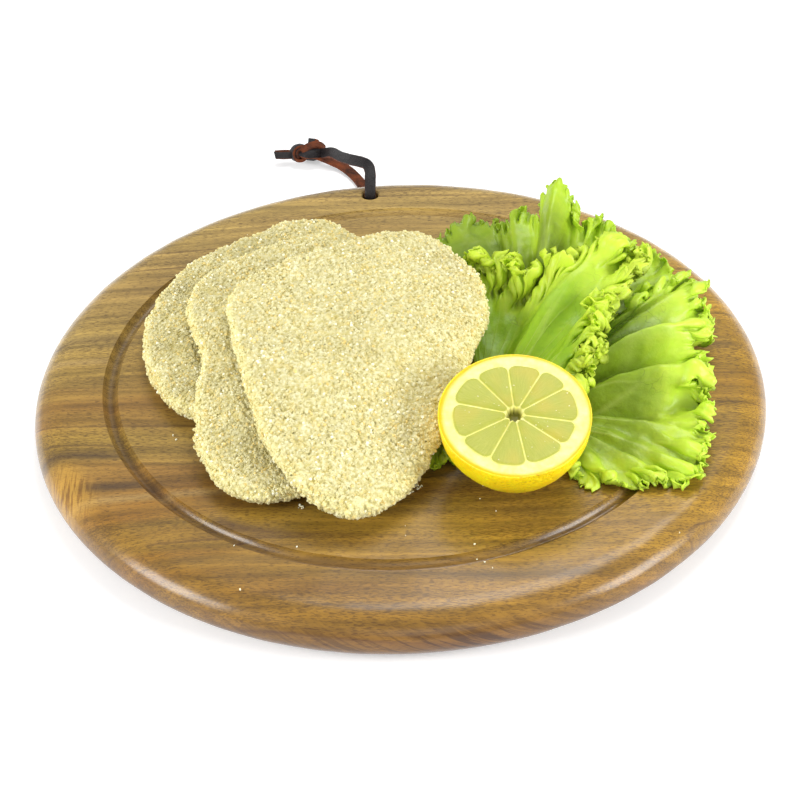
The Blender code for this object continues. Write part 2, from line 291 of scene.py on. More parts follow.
def lay(points, count, facing, **settings):
    """Lays a length of the strip through places in the knot."""
    facing = in_knot(*facing) - KNOT_CENTRE
    sweep_strip(knot, through([in_knot(*p) for p in points], count), facing=facing, **settings)


wrap = [(5.2, -1.4, -1.6), (4.4, -1.9, 1.6), (1.6, -2.3, 3.9), (-1.4, -2.1, 4.3)]
lay(wrap + [(-3.6, -1.4, 3.1), (-4.4, -0.6, 0.8)], 28, (0.0, 0.2, 1), width=0.005)
cross = [(-4.2, -0.8, 1.6), (-3.0, 0.3, 3.0), (-0.4, 1.5, 3.6), (2.6, 2.5, 2.8), (5.0, 2.2, 1.2)]
lay(cross + [(6.6, 0.6, -1.2)], 28, (0, 0.6, 1), grain_out=False, width=0.0042)
lay([(0.6, 0.8, -0.4), (0.9, 3.2, 0.4), (1.3, 5.9, 0.6)], 10, (-0.5, 0.2, 1), width=0.0042)
flesh = [(3.2, 0.6, 0.0), (3.2, 2.6, 0.6), (2.6, 5.2, 0.2)]
lay(flesh, 10, (0.9, 0.2, 1), grain_out=False, width=0.0034)
lumps = (((0.8, -0.7, -0.5), (0.0062, 0.0046, 0.0043)), ((-5.2, -1.7, 0.2), (0.0024, 0.0024, 0.0024)))
for side, (place, size) in enumerate(lumps):
    lump = bmesh.ops.create_icosphere(knot, subdivisions=3, radius=1)["verts"]
    bmesh.ops.scale(knot, vec=size, verts=lump)
    bmesh.ops.translate(knot, vec=in_knot(*place), verts=lump)
    for face in {face for vert in lump for face in vert.link_faces}:
        face.material_index = side
noise.seed_set(3)
for vert in knot.verts:
    vert.co += noise.noise_vector(vert.co * 420) * 0.00022
knotted = [piece("leather_knot", knot, hide, "thong_knot")]
tails = {"lower": ((-9.0, -1.8, -0.4), (-13.5, -1.9, 0.0), (-18.2, -1.6, 0.2))}
tails["upper"] = ((-8.5, -0.9, -2.2), (-13.0, -0.6, -2.0), (-18.0, -0.7, -1.8))
for side, ends in tails.items():
    tail = bmesh.new()
    ends = through([in_knot(*p) for p in ends], 12)
    sweep_strip(tail, ends, facing=(0, -0.78, 0.62), grain_out=side == "lower", width=0.0036)
    tip = min(vert.co.x for vert in tail.verts)
    for vert in tail.verts:
        if vert.co.x < tip + 0.0004:
            vert.co.x += (KNOT_CENTRE.z - vert.co.z) * 0.35
    knotted.append(piece(f"leather_tail_{side}", tail, hide, f"thong_tail_{side}"))

for name, strand in strands.items():
    route = [Vector(point) for point in strand_paths[name]]

# ------------------------------------------------------------
# Board: one acacia disc, turned on a lathe with a full-round edge and a juice groove, drilled
# for the thong, sanded and finished with a satin lacquer.
BOARD_RADIUS = 0.15
BOARD_THICKNESS = 0.02
BOARD_EDGE_DEPTH = 0.0133
GROOVE_INNER_RADIUS = 0.1151
GROOVE_WIDTH = 0.0063
GROOVE_DEPTH = 0.0032
HOLE_RADIUS = 0.0038
HOLE_FLARE = 0.0009
RELIEF_WIDTH = 0.0066
RELIEF_DEPTH = 0.0027
DARK_LINE, PALE_LINE = (0.045, 0.028, 0.018, 1), (0.62, 0.42, 0.16, 1)
GROWTH_LINES = (
    ((-0.127, -0.051, 0.026), DARK_LINE, 0.75),
    ((-0.12, -0.068, 0.03), DARK_LINE, 0.7),
    ((-0.134, 0.01, 0.02), PALE_LINE, 0.4),
    ((-0.1, -0.076, 0.05), PALE_LINE, 0.35),
    ((0.134, 0.004, 0.018), DARK_LINE, 0.55),
    ((-0.06, -0.118, 0.06), DARK_LINE, 0.35),
    ((0.02, -0.124, 0.07), DARK_LINE, 0.4),
)


def lathe(profile, steps):
    """A profile of radii and heights turned round +Z."""
    shape = bmesh.new()
    points = [shape.verts.new((radius, 0, z)) for radius, z in profile]
    geom = points + [shape.edges.new(pair) for pair in zip(points, points[1:])]
    centre, axis = (0, 0, 0), (0, 0, 1)
    bmesh.ops.spin(shape, geom=geom, cent=centre, axis=axis, angle=2 * pi, steps=steps, use_merge=True)
    bmesh.ops.remove_doubles(shape, verts=shape.verts, dist=1e-6)
    bmesh.ops.recalc_face_normals(shape, faces=shape.faces)
    return shape


def settle(obj):
    """Applies a piece's modifiers."""
    bpy.context.view_layer.update()
    made = bpy.data.meshes.new_from_object(obj.evaluated_get(bpy.context.evaluated_depsgraph_get()))
    obj.modifiers.clear()
    obj.data = made


def acacia():
    """Golden-brown acacia: soft growth bands, fine dark pores, thin dark lines, a figured rim."""
    lacquer = {"Coat_Weight": 0.9, "Coat_Roughness": 0.24, "Coat_IOR": 1.42}
    look = Finish("acacia", Roughness=0.5, Specular_IOR_Level=0.22, **lacquer)
    axes = look.add("SeparateXYZ", {"Vector": look.place}).outputs
    drift = look.noise(look.stretch(4.5, 11, 9), detail=2, rough=0.45)
    wander = look.times(drift, 0.03, axes["Y"])
    wander = look.times(axes["Z"], 0.45, wander)
    straight = look.add("CombineXYZ", {"X": axes["X"], "Y": wander, "Z": axes["Z"]}).outputs[0]
    honey, golden, olive = srgb(158, 125, 46), srgb(146, 112, 42), srgb(124, 99, 46)
    amber, umber, hazel_and_sheen = srgb(138, 97, 33), srgb(98, 68, 30), srgb(186, 158, 92)
    broad = look.noise(look.stretch(3.2, 26, 12, place=straight), detail=3, rough=0.55)
    bands = ((0.26, umber), (0.38, amber), (0.47, golden), (0.57, honey), (0.66, olive), (0.78, amber))
    colour = look.ramp(broad, *bands)
    # Lighter and greyer towards the left and the back: part wood tone, part painted light and sheen.
    side = look.times(axes["Y"], 2.4, drift)
    side = look.times(axes["X"], -1.2, side)
    colour = look.blend(look.ramp(side, (0.36, 0), (0.86, 0.62)), colour, hazel_and_sheen)
    sunny = look.ramp(axes["X"], (0.05, 0), (0.135, 0.58))
    colour = look.blend(sunny, colour, srgb(188, 140, 32))
    nearness = look.ramp(look.times(axes["Y"], -5.0), (0.42, 0), (0.7, 0.6))
    colour = look.blend(nearness, colour, srgb(140, 98, 32))
    soft = look.noise(look.stretch(9, 150, 60, place=straight), detail=4, rough=0.6, warp=0.15)
    colour = look.blend(0.62, colour, look.ramp(soft, (0.32, 0.24), (0.68, 0.76)), "OVERLAY")
    hazy = look.noise(look.stretch(38, 520, 260, place=straight), detail=3, rough=0.6)
    colour = look.blend(0.42, colour, look.ramp(hazy, (0.3, 0.25), (0.7, 0.75)), "OVERLAY")
    lines = look.noise(look.stretch(2.2, 34, 14, place=straight), detail=1, rough=0.3)
    thin = look.ramp(lines, (0.486, 0), (0.5, 0.6), (0.508, 0))
    broken = look.ramp(look.noise(look.stretch(30, 90, 60), detail=2), (0.36, 0.2), (0.55, 1))
    colour = look.blend(look.times(thin, broken), colour, srgb(70, 44, 32))
    for (x, y, reach), shade, strength in GROWTH_LINES:
        bow = look.times(look.math("SUBTRACT", drift, 0.5), 0.035, axes["Y"])
        near = look.math("ABSOLUTE", look.math("SUBTRACT", bow, y))
        along = look.math("ABSOLUTE", look.math("SUBTRACT", axes["X"], x))
        line = look.ramp(near, (0.0003, strength), (0.0018, 0))
        line = look.times(line, look.ramp(along, (reach / 2, 1), (reach, 0)))
        colour = look.blend(line, colour, shade)
    dashes = look.noise(look.stretch(380, 2600, 1900, place=straight), detail=2, rough=0.6)
    crowd = look.noise(look.stretch(7, 60, 40, place=straight), detail=3)
    crowd = look.times(crowd, -0.3, 0.665)
    pore = look.times(look.math("SUBTRACT", dashes, crowd), 11.0)
    pore = look.ramp(pore, (0, 0), (1, 0.58))
    colour = look.blend(pore, colour, srgb(62, 40, 24))
    flat = look.add("CombineXYZ", {"X": axes["X"], "Y": axes["Y"]}).outputs[0]
    radius = look.add("VectorMath", {0: flat}, operation="LENGTH").outputs["Value"]
    shoulder = BOARD_RADIUS - BOARD_EDGE_DEPTH
    rim = look.ramp(radius, (shoulder - 0.001, 0), (shoulder + 0.001, 1))
    across = look.noise(look.stretch(900, 90, 90, turn=radians(-25)), detail=3, rough=0.6)
    gilt = look.ramp(look.away(-0.133, -0.07, 0.016), (0.006, 0.62), (0.021, 0))
    gilt = look.times(gilt, rim)
    gold = look.ramp(across, (0.42, srgb(150, 104, 34)), (0.55, srgb(214, 164, 66)))
    colour = look.blend(gilt, colour, gold)
    front = look.ramp(look.away(-0.004, -0.148, 0.008), (0.03, 1), (0.075, 0.25))
    front = look.times(front, rim)
    low = look.ramp(axes["Z"], (0.0105, 1), (0.0185, 0))
    where = look.ramp(look.noise(9, detail=1), (0.36, 0.5), (0.52, 1))
    front = look.times(look.times(front, low), where)
    slant = look.times(axes["X"], 0.55, axes["Z"])
    slanted = look.add("CombineXYZ", {"X": slant, "Y": axes["X"]}).outputs[0]
    flame = look.noise(look.stretch(430, 34, 1, place=slanted), detail=5, rough=0.68, warp=0.5)
    colour = look.blend(look.times(front, 0.8), colour, srgb(118, 72, 24))
    strokes = look.times(look.ramp(flame, (0.45, 1), (0.54, 0)), front)
    colour = look.blend(strokes, colour, srgb(46, 20, 8))
    # Painted shade in the juice groove, darkest at its bottom.
    recess_shade = (BOARD_THICKNESS - GROOVE_DEPTH, 0.5), (BOARD_THICKNESS - 0.0002, 0.0)
    recess_shade = look.ramp(axes["Z"], *recess_shade)
    recess_shade = look.times(recess_shade, look.math("SUBTRACT", 1.0, rim))
    colour = look.blend(recess_shade, colour, srgb(76, 47, 14))
    # Painted shade: the wood darker towards its underside.
    underside_shade = look.ramp(axes["Z"], (0.001, 0.8), (0.0135, 0))
    colour = look.blend(underside_shade, colour, srgb(70, 42, 18))
    look.wire(Base_Color=colour)
    look.bump((look.times(pore, -1.0), 0.00005), (hazy, 0.00004))
    return look.material


flat, half = BOARD_RADIUS - BOARD_EDGE_DEPTH, BOARD_THICKNESS / 2
profile = [(0, 0), (flat * 0.4, 0), (flat * 0.8, 0)]
for k in range(33):
    angle = pi * (k / 32 - 0.5)
    profile.append((flat + BOARD_EDGE_DEPTH * cos(angle), half + half * sin(angle)))
for k in range(25):
    angle = pi * k / 24
    radius = GROOVE_INNER_RADIUS + GROOVE_WIDTH * (1 + cos(angle)) / 2
    profile.append((radius, BOARD_THICKNESS - GROOVE_DEPTH * sin(angle) ** 1.6))
profile += [(radius, BOARD_THICKNESS) for radius in (0.0949, 0.06, 0.03, 0)]
disc = lathe(profile, 320)
for vert in disc.verts:
    share = min(1, (vert.co.xy.length - 0.09) / 0.02)
    if share > 0 and vert.co.z > 0.001:
        vert.co.z += 0.00022 * noise.noise(vert.co * 90) * share
board = piece("acacia_board", disc, [acacia()], "board")

reach = BOARD_RADIUS + 0.005 - (HOLE_Y - HOLE_RADIUS)
channel = bmesh.new()
bmesh.ops.create_cube(channel, size=1)
bmesh.ops.scale(channel, vec=(RELIEF_WIDTH, reach, 2 * RELIEF_DEPTH), verts=channel.verts)
bmesh.ops.translate(channel, vec=(HOLE_X, HOLE_Y - HOLE_RADIUS + reach / 2, 0), verts=channel.verts)
cutters = {"channel": channel}
wide, deep = HOLE_RADIUS + 2 * HOLE_FLARE, 2 * HOLE_FLARE
for name, radii, depth, middle in (
    ("drill", (HOLE_RADIUS, HOLE_RADIUS), 0.06, half),
    ("flare", (HOLE_RADIUS - 0.0001, wide), deep, BOARD_THICKNESS + 0.0001),
):
    cutters[name] = bmesh.new()
    sizes = {"radius1": radii[0], "radius2": radii[1], "depth": depth}
    place = Matrix.Translation((HOLE_X, HOLE_Y, middle))
    bmesh.ops.create_cone(cutters[name], cap_ends=True, segments=64, matrix=place, **sizes)
tools = [piece(name, cutter, []) for name, cutter in cutters.items()]
for tool in tools:
    cut = board.modifiers.new(tool.name, "BOOLEAN")
    cut.operation = "DIFFERENCE"
    cut.object = tool
settle(board)
for tool in tools:
    bpy.data.objects.remove(tool)
board.data.shade_smooth()
board.data.set_sharp_from_angle(angle=radians(38))

# ------------------------------------------------------------
# Schnitzels: thin beaten meat turned in flour, egg and dry crumb, not yet fried. The crumb is
# a rough crust all over, and coarser grains stand on top of it.
CRUST_MESH = 0.00062
CRUMB = 0.00155
FINE_CRUMB = 0.00105
GRAIN_RADIUS = 0.00053
GRAIN_SIZES = 0.55, 1.45
GRAINS_PER_PIECE = 9100


def breading(name, flour_and_shade):
    """Dry pale crumb: cream grains, edges yellower in part by painted highlight, greyer flour in part
    by painted shade, painted shade between the crumbs, a few dark specks.
    """
    look = Finish(name, Roughness=0.9)
    edge = look.mark("edge")
    deep = look.mark("raised")
    grain = look.noise(700, detail=3, rough=0.65)
    tan, cream, pale = srgb(198, 184, 122), srgb(228, 220, 166), srgb(250, 246, 208)
    colour = look.ramp(grain, (0.3, tan), (0.48, cream), (0.66, pale))
    flour = look.noise(34, detail=4, rough=0.6)
    flour = look.ramp(flour, (0.4, 0.25), (0.62, 1))
    flour = look.times(flour, look.ramp(edge, (0, 1), (0.7, 0)))
    # More grey flour on the lower schnitzels: part flour, part painted shade.
    colour = look.blend(look.times(flour, flour_and_shade), colour, srgb(184, 175, 126))
    # The edges yellower and lighter: part crumb colour, part painted highlight.
    colour = look.blend(look.times(edge, 0.45), colour, srgb(252, 243, 172))
    warm = look.noise(230, detail=3, rough=0.7)
    colour = look.blend(look.ramp(warm, (0.52, 0), (0.66, 0.48)), colour, srgb(226, 206, 124))
    # Painted shade in the crevices between the crumb lumps.
    colour = look.blend(look.ramp(deep, (0, 0.55), (0.45, 0)), colour, srgb(190, 176, 92))
    specks = look.ramp(look.cells(260), (0.08, 1), (0.16, 0))
    rare = look.ramp(look.noise(90, detail=1), (0.57, 0), (0.62, 0.9))
    colour = look.blend(look.times(specks, rare), colour, srgb(120, 114, 62))
    look.wire(Base_Color=colour)
    look.bump((look.noise(1500, detail=3, rough=0.6), 0.00042))
    return look.material


def loose_grain(size, seed, material):
    """One crumb: a small stone-like lump with a few dozen faces, kept out of the scene."""
    shape = bmesh.new()
    bmesh.ops.create_icosphere(shape, subdivisions=1, radius=size)
    for vert in shape.verts:
        vert.co *= 1 + 0.38 * noise.noise(vert.co / size * 0.9 + Vector((seed * 7.3, seed * 3.1, 0)))
    mesh = bpy.data.meshes.new(f"grain_{seed}")
    shape.to_mesh(mesh)
    shape.free()
    mesh.materials.append(material)
    return bpy.data.objects.new(mesh.name, mesh)


def mark_points(obj, **marks):
    """Writes the values per point that finishes and scatters read."""
    for name, values in marks.items():
        obj.data.attributes.new(name, "FLOAT", "POINT").data.foreach_set("value", values)


def sprinkle(name, surface, grains, seed):
    """Scatters grains over the faces of a surface that are marked as bare, as one real mesh."""
    kinds = bpy.data.collections.new(name)
    for grain in grains:
        kinds.objects.link(grain)
    tree = bpy.data.node_groups.new(name, "GeometryNodeTree")
    tree.interface.new_socket("Geometry", in_out="OUTPUT", socket_type="NodeSocketGeometry")
    add = partial(add_node, tree)
    mesh = surface.data
    areas, marks = np.empty(len(mesh.polygons)), np.empty(len(mesh.vertices))
    mesh.polygons.foreach_get("area", areas)
    mesh.attributes["bare"].data.foreach_get("value", marks)
    corners = np.empty(len(mesh.loops), int)
    mesh.loops.foreach_get("vertex_index", corners)
    owners = np.repeat(np.arange(len(areas)), [p.loop_total for p in mesh.polygons])
    bare = np.bincount(owners, marks[corners]) / np.bincount(owners)
    density = GRAINS_PER_PIECE / (areas * bare).sum()

    source = add("GeometryNodeObjectInfo", {"Object": surface}, transform_space="ORIGINAL")
    mark = add("GeometryNodeInputNamedAttribute", {"Name": "bare"}, data_type="FLOAT").outputs[0]
    thick = add("ShaderNodeMath", {0: mark, 1: density}, operation="MULTIPLY").outputs[0]
    inputs = {"Mesh": source.outputs["Geometry"], "Density": thick, "Seed": seed}
    spots = add("GeometryNodeDistributePointsOnFaces", inputs)
    choice = add("GeometryNodeCollectionInfo", {"Collection": kinds, "Separate Children": True})
    spin = {"Min": (0, 0, 0), "Max": (6.28, 6.28, 6.28), "Seed": seed + 1}
    spin = add("FunctionNodeRandomValue", spin, data_type="FLOAT_VECTOR").outputs[0]
    size = add("FunctionNodeRandomValue", {"Seed": seed + 2}, data_type="FLOAT")
    size.inputs[2].default_value, size.inputs[3].default_value = GRAIN_SIZES
    inputs = {"Points": spots.outputs["Points"], "Instance": choice.outputs[0], "Pick Instance": True}
    placed = add("GeometryNodeInstanceOnPoints", {**inputs, "Rotation": spin, "Scale": size.outputs[1]})
    joined = add("GeometryNodeRealizeInstances", {"Geometry": placed.outputs["Instances"]})
    add("NodeGroupOutput", {0: joined.outputs["Geometry"]})
    cover = piece(name, bmesh.new(), [])
    cover.modifiers.new("scatter", "NODES").node_group = tree
    settle(cover)


def uncovered(others):
    """A test for whether a place on one schnitzel is free, with no other lying against it."""
    trees = []
    for other in others:
        shape = bmesh.new()
        shape.from_mesh(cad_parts[other].data)
        trees.append(BVHTree.FromBMesh(shape))
        shape.free()

    def free(point, normal):
        start = point + normal * 0.0002
        return all(tree.ray_cast(start, normal, 0.0022)[0] is None for tree in trees)

    return free


def stray(name, dark, light):
    """A crumb that is whiter or browner than the rest."""
    look = Finish(name, Roughness=0.8)
    look.wire(Base_Color=look.ramp(look.noise(600), (0.35, dark), (0.6, light)))
    return look.material


white_crumb = stray("crumb_white", srgb(244, 240, 200), srgb(255, 253, 230))
golden_crumb = stray("crumb_golden", srgb(216, 192, 114), srgb(238, 218, 144))
# Share of grey flour for each schnitzel, larger on the lower ones: part flour, part painted shade.
stack = {"schnitzel_bottom": 0.66, "schnitzel_middle": 0.36, "schnitzel_top": 0.28}
for order, (node, flour_and_shade) in enumerate(stack.items()):
    crumb = breading(f"breading_{node}", flour_and_shade)
    kinds = (crumb,) * 14 + (white_crumb, golden_crumb, golden_crumb)
    grains = [loose_grain(GRAIN_RADIUS, 19 * order + k, kind) for k, kind in enumerate(kinds)]
    shape = bmesh.new()
    shape.from_mesh(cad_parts[node].data)
    bmesh.ops.remove_doubles(shape, verts=shape.verts, dist=1e-6)
    obj = piece(f"breaded_{node}", shape, [crumb], node)
    soften = obj.modifiers.new("soften", "SUBSURF")
    soften.levels = soften.render_levels = 2
    crust = obj.modifiers.new("crust", "REMESH")
    crust.mode, crust.voxel_size = "VOXEL", CRUST_MESH
    settle(obj)
    shape = bmesh.new()
    shape.from_mesh(obj.data)
    every_axis = {"use_axis_x": True, "use_axis_y": True, "use_axis_z": True}
    for _ in range(6):
        bmesh.ops.smooth_vert(shape, verts=shape.verts, factor=0.5, **every_axis)
    shape.normal_update()
    is_free = uncovered([other for other in stack if other != node])
    offset = Vector((order * 3.7, order * 1.9, order * 5.3))
    marks, lumps, edges = (np.zeros(len(shape.verts)) for _ in range(3))
    lowest = BOARD_THICKNESS + 0.0002
    for vert in shape.verts:
        point, normal = vert.co.copy(), vert.normal.copy()
        # How much a point faces sideways; it roughens the crust and drives the painted highlight on the
        # edges.
        edges[vert.index] = min(1.0, max(0.0, (0.975 - normal.z) / 0.3)) * (normal.z > -0.2)
        rough = 0.0006 + 0.0005 * edges[vert.index]
        swell = 0.0007 * noise.noise(point * 45 + offset) + rough * noise.noise(point * 150 + offset)
        near, _ = noise.voronoi(point / CRUMB + offset)
        finer, _ = noise.voronoi(point / FINE_CRUMB + offset)
        patch = 0.85 + 0.5 * noise.noise(point * 60 - offset) + 0.35 * edges[vert.index]
        lump = max(0.0, 0.7 - near[0]) * 0.0019 * patch + max(0.0, 0.66 - finer[0]) * 0.001
        vert.co = point + normal * (swell + lump - 0.0005)
        lumps[vert.index] = lump / 0.0014
        vert.co.z = max(vert.co.z, lowest)
        if normal.z > -0.5 and is_free(point, normal):
            mark = 0.75 + 0.6 * noise.noise(point * 60 + offset) + 0.3 * (normal.z < 0.7)
            marks[vert.index] = min(1.0, max(0.45, mark))
    shape.to_mesh(obj.data)
    shape.free()
    obj.data.shade_smooth()
    obj.data.materials.clear()
    obj.data.materials.append(crumb)
    mark_points(obj, bare=marks, raised=lumps, edge=edges)
    sprinkle(f"crumbs_{node}", obj, grains, 11 + order)

# ------------------------------------------------------------
# Lettuce: leaves of a green frilly head. Each spreads from a narrow foot in soft pleats, and its
# margin grew far longer than the leaf is wide, so that it lies in ruffles upon ruffles.
LEAF_THICKNESS = 0.00045
MILLIMETRE = 0.001
BOARD_TOP = 0.0206
LEMON_CLEARANCE, LEMON_MIDDLE, LEMON_REACH = 0.0296, 0.05, 0.0315
LEMON_AXIS = Vector((0.0425, -0.0715))


def lettuce_green(name, body, margin, rib, clarity):
    """Thin leaf: green body, yellower margin, pale ribs, thin dark veins, light through it."""
    look = Finish(name, Roughness=0.42, Coat_Weight=0.22, Coat_Roughness=0.24)
    outward = look.mark("outward")
    round_it = look.mark("round")
    blotch = look.noise(60, detail=4)
    edge = look.times(blotch, 0.3, outward)
    colour = look.ramp(edge, (0.66, body), (1.02, margin))
    mottle = look.noise(210, detail=5, rough=0.65)
    colour = look.blend(0.32, colour, look.ramp(mottle, (0.3, 0.3), (0.7, 0.7)), "OVERLAY")
    sway = look.noise(30, detail=1)
    sway = look.times(sway, 0.06, round_it)
    spread = look.add("CombineXYZ", {"X": sway, "Y": outward}).outputs[0]
    fan = look.add("Mapping", {"Vector": spread, "Scale": (17, 1.3, 1)}).outputs[0]
    ribs = look.cells(fan, feature="DISTANCE_TO_EDGE", random=0.9)
    fade = look.ramp(outward, (0.25, 1), (0.75, 0))
    rib_line = look.times(look.ramp(ribs, (0, 0.7), (0.07, 0)), fade)
    colour = look.blend(rib_line, colour, rib)
    inputs = {"Vector": look.stretch(110, 110, 110), "Scale": 1.0, "Detail": 2.0}
    bent = look.add("TexNoise", inputs).outputs["Color"]
    bent = look.blend(0.9, look.stretch(95, 150, 95, turn=radians(20)), bent, "LINEAR_LIGHT")
    net = look.cells(bent, feature="DISTANCE_TO_EDGE")
    where = look.ramp(look.noise(38, detail=1), (0.47, 0.1), (0.6, 0.42))
    thread = look.times(look.ramp(net, (0, 1), (0.028, 0)), where)
    thread = look.times(thread, look.ramp(outward, (0.6, 1), (0.8, 0)))
    colour = look.blend(thread, colour, srgb(92, 122, 24))
    # Painted shade in the leaf's hollows.
    hollow = look.mark("hollow")
    colour = look.blend(look.times(hollow, 0.6), colour, srgb(96, 132, 22))
    look.wire(Base_Color=colour)
    look.bump((mottle, 0.00055), (rib_line, 0.0002), (look.times(thread, -1.0), 0.00012))
    clear = look.add("BsdfTranslucent", {"Color": colour}).outputs[0]
    mixed = look.add("MixShader", {0: clarity, 1: look.shader.outputs[0], 2: clear}).outputs[0]
    look.tree.links.new(mixed, look.tree.nodes["Material Output"].inputs["Surface"])
    return look.material


def travelled(row):
    """How far along a row of points each of them is."""
    return np.concatenate([[0], np.cumsum(np.linalg.norm(np.diff(row, axis=0), axis=1))])


def even(row, count):
    """A smooth row through control points, read at equal distances."""
    fine = through(row, 40 * len(row))
    along = travelled(fine)
    wanted = np.linspace(0, along[-1], count)
    return np.stack([np.interp(wanted, along, axis) for axis in fine.T], axis=1)


def unit(vectors):
    return vectors / (np.linalg.norm(vectors, axis=-1, keepdims=True) + 1e-12)


def patchy(rng, lines, columns, across):
    """Smooth random values from -1 to 1 over a sheet, in so many patches across."""
    return resample(rng.uniform(-1, 1, (5, max(4, int(across)), 1)), lines, columns)[..., 0]


def resample(values, lines, columns):
    """The same sheet with more threads."""
    return through(through(values, lines).transpose(1, 0, 2), columns).transpose(1, 0, 2)


def blurred(values, reach):
    """Moving averages of a sheet's values, along both its threads."""
    for _ in range(2):
        wide = np.pad(values, ((reach, reach), (0, 0)), "edge")
        values = np.mean([wide[k : k + len(values)] for k in range(2 * reach + 1)], axis=0).T
        reach *= 3
    return values


def ruffle(place, inward, rng, spacing, height, zone, lean):
    """Adds one order of ruffles: crumpled waves off the leaf's face that lean into loops."""
    lines, columns = place.shape[:2]
    along = unit(np.gradient(place, axis=1))
    away = np.gradient(place, axis=0)
    away = unit(away - along * (along * away).sum(-1, keepdims=True))
    face = np.cross(along, away)
    distance = travelled(place[-1])
    count = distance[-1] / spacing
    phase = 2 * pi * distance / spacing + 2.0 * patchy(rng, lines, columns, count)
    swing = height * np.clip(1 - inward / zone, 0, 1)
    swing = swing * (0.85 + 0.6 * patchy(rng, lines, columns, 0.8 * count))
    ripple = -2 * pi * 0.5 * inward / spacing + 2.5 * patchy(rng, lines, columns, 0.7 * count)
    shift = face * (swing * (0.9 * np.sin(phase) + 0.35 * np.sin(ripple)))[..., None]
    shift -= along * (lean * swing * np.sin(2 * phase))[..., None]
    shift += away * (0.5 * swing * np.cos(phase + ripple))[..., None]
    return place + shift


def clear_of_neighbours(place):
    """Rests a leaf on the board and keeps it out of the lemon's side."""
    above = place[..., 2] - BOARD_TOP
    place[..., 2] = BOARD_TOP + 0.5 * (above + np.sqrt(above**2 + 0.0008**2))
    gap = place[..., :2] - np.array(LEMON_AXIS)
    far = np.linalg.norm(gap, axis=-1)
    below = np.clip((LEMON_MIDDLE - place[..., 2]) / LEMON_REACH, 0, 0.97)
    needed = LEMON_CLEARANCE * np.sqrt(1 - below**2)
    place[..., :2] += unit(gap) * np.maximum(needed - far, 0)[..., None]
    return place


def leaf_sheet(foot, spokes, waves, seed, columns, lines, teeth):
    """A leaf's sheet: spokes from its foot to its margin, each bowed by its own rise."""
    rng = np.random.default_rng(seed)
    margin = even(np.array(spokes, float), columns)
    near = np.linspace(*np.array(foot, float), columns)
    outward = (1 - (1 - np.linspace(0, 1, lines)) ** 1.6)[:, None]
    share = outward[..., None]
    place = near + (margin[:, :3] - near) * share
    place[..., 2] += margin[:, 3] * 4 * outward * (1 - outward)
    inward = (1 - outward) * np.linalg.norm(margin[:, :3] - near, axis=1)
    for spacing, height, zone, lean in waves:
        place = ruffle(place, inward, rng, spacing, height, zone, lean)
    # How far each point lies below its blurred neighbourhood, for painted shade in the hollows.
    hollow = np.clip((blurred(place[..., 2], 5) - place[..., 2]) / 2.5, 0, 1)
    distance = travelled(place[-1])
    marks = np.cumsum(rng.uniform(1.3, 2.9, int(distance[-1] / 1.3)))
    heights = rng.uniform(0.3, 1.0, len(marks)) * np.tile((1.0, -0.5), len(marks))[: len(marks)]
    tooth = np.interp(distance, marks, heights) * teeth
    tip = unit(place[-1] - place[-3])
    for back, part in ((1, 1.0), (2, 0.7), (3, 0.4), (4, 0.15)):
        place[-back] += tip * (tooth * part)[:, None]
    place *= MILLIMETRE
    for row in place:
        for point in row:
            spot = Vector(point)
            swell = noise.noise(spot * 130) + 0.4 * noise.noise(spot * 330)
            point[2] += MILLIMETRE * 0.85 * swell
    return clear_of_neighbours(place), outward, hollow


def leaf(name, node, look, sheet):
    """Builds one leaf from its sheet, as a closed wall of the leaf's thickness."""
    place, outward, hollow = sheet
    lines, columns = place.shape[:2]
    shape = bmesh.new()
    across = shape.verts.layers.float.new("round")
    out = shape.verts.layers.float.new("outward")
    recess_shade = shape.verts.layers.float.new("hollow")
    made = bmesh.ops.create_grid(shape, x_segments=columns - 1, y_segments=lines - 1, size=1)
    for k, vert in enumerate(made["verts"]):
        row, column = divmod(k, columns)
        vert.co = place[row, column]
        vert[across] = column / (columns - 1)
        vert[out] = outward[row, 0]
        vert[recess_shade] = hollow[row, column]
    bmesh.ops.recalc_face_normals(shape, faces=shape.faces)
    obj = piece(name, shape, [look], node)
    wall = obj.modifiers.new("thickness", "SOLIDIFY")
    wall.thickness = LEAF_THICKNESS
    wall.offset = 0
    settle(obj)
    obj.data.shade_smooth()


# Three shades of one leaf finish; the darker back set, used on the back and tip leaves, is part leaf
# colour, part painted shade.
greens = {}
for name, body, margin, rib, clarity in (
    ("body", (158, 188, 46), (228, 254, 80), (202, 222, 104), 0.32),
    ("frill", (172, 213, 42), (236, 255, 84), (208, 234, 106), 0.4),
    ("back", (142, 170, 32), (202, 232, 56), (198, 218, 104), 0.32),
):
    shades = (srgb(*shade) for shade in (body, margin, rib))
    greens[name] = lettuce_green(f"lettuce_{name}", *shades, clarity)

foot = ((66, -14, 23), (62, -46, 21.5))
spokes = [
    (84, 19, 25, 0), (95, 21, 29, 1), (106, 23, 32, 3), (116, 28, 35, 4), (123, 32, 37, 4),
    (127, 26, 37, 6), (128, 15, 34, 0), (127, 5, 32, -9), (124, -3, 36, -6), (121, -9, 40, 14),
    (122, -15, 36, 4), (119, -24, 30, -9), (120, -33, 37, 9), (120, -42, 33, 5), (118, -52, 29, -3),
    (118, -61, 29, 1), (115, -71, 27, 0), (112, -80, 25, 1), (105, -84, 23, 0), (98, -80, 22.5, 1),
    (89, -83, 22, 0), (80, -80, 21.5, 1), (71, -79, 21.5, 0), (62, -70, 21.3, 0),
]
waves = ((17, 4.2, 22, 0.42), (8, 2.6, 12, 0.5), (4, 0.8, 7, 0.4))
sheet = leaf_sheet(foot, spokes, waves, 5, 1080, 42, teeth=2.8)
leaf("lettuce_right", "lettuce_leaf_right", greens["body"], sheet)

